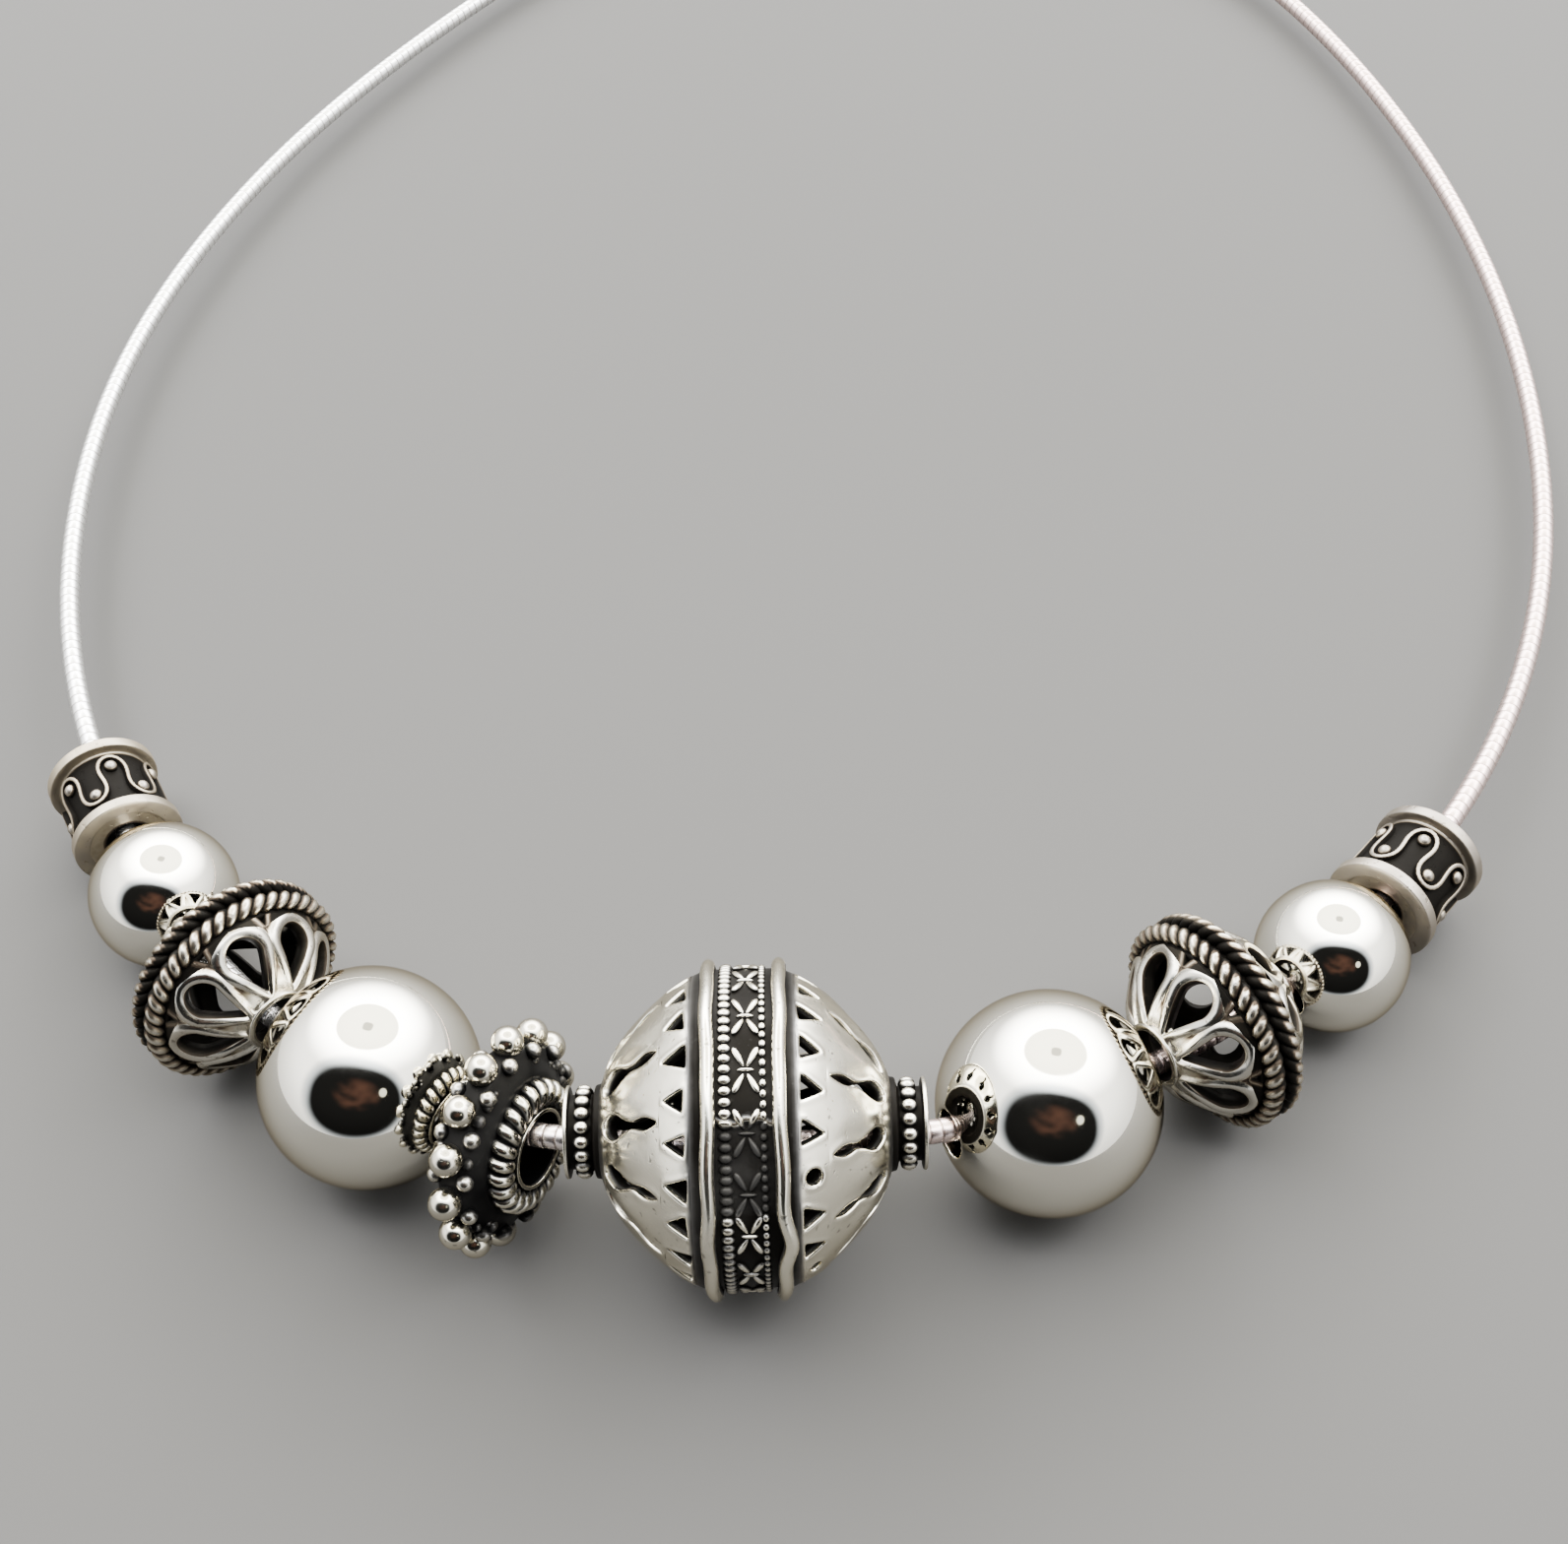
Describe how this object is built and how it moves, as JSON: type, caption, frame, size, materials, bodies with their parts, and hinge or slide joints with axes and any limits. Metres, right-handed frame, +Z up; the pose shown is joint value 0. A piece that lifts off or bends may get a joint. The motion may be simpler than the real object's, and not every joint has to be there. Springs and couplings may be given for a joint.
{
  "type": "beaded choker",
  "caption": "Silver choker lying in a loop: a pierced round bead at the front of a stiff neck wire, with polished balls, openwork saucers and small barrels either side.",
  "frame": {"origin": "middle of the whole choker's outline, on the surface it lies on", "axes": "+Z up from the surface, +Y from the pierced front bead towards the clasp at the back, +X to the right as pictured"},
  "size_m": [0.1181, 0.1612, 0.0203],
  "materials": {
    "polished_silver": "mirror-polished silver",
    "oxidised_silver": "satin silver, blackened in the recesses",
    "wire_silver": "bright segmented neck wire with fine dark joints"
  },
  "bodies": {
    "root": {"neck_wire": "wire_silver", "clasp": "polished_silver", "centre_bead": "oxidised_silver", "granule_spacer": "oxidised_silver", "large_ball_left": "polished_silver", "large_ball_right": "polished_silver", "saucer_left": "oxidised_silver", "saucer_right": "oxidised_silver", "small_ball_left": "polished_silver", "small_ball_right": "polished_silver", "barrel_left": "oxidised_silver", "barrel_right": "oxidised_silver"}
  },
  "joints": []
}
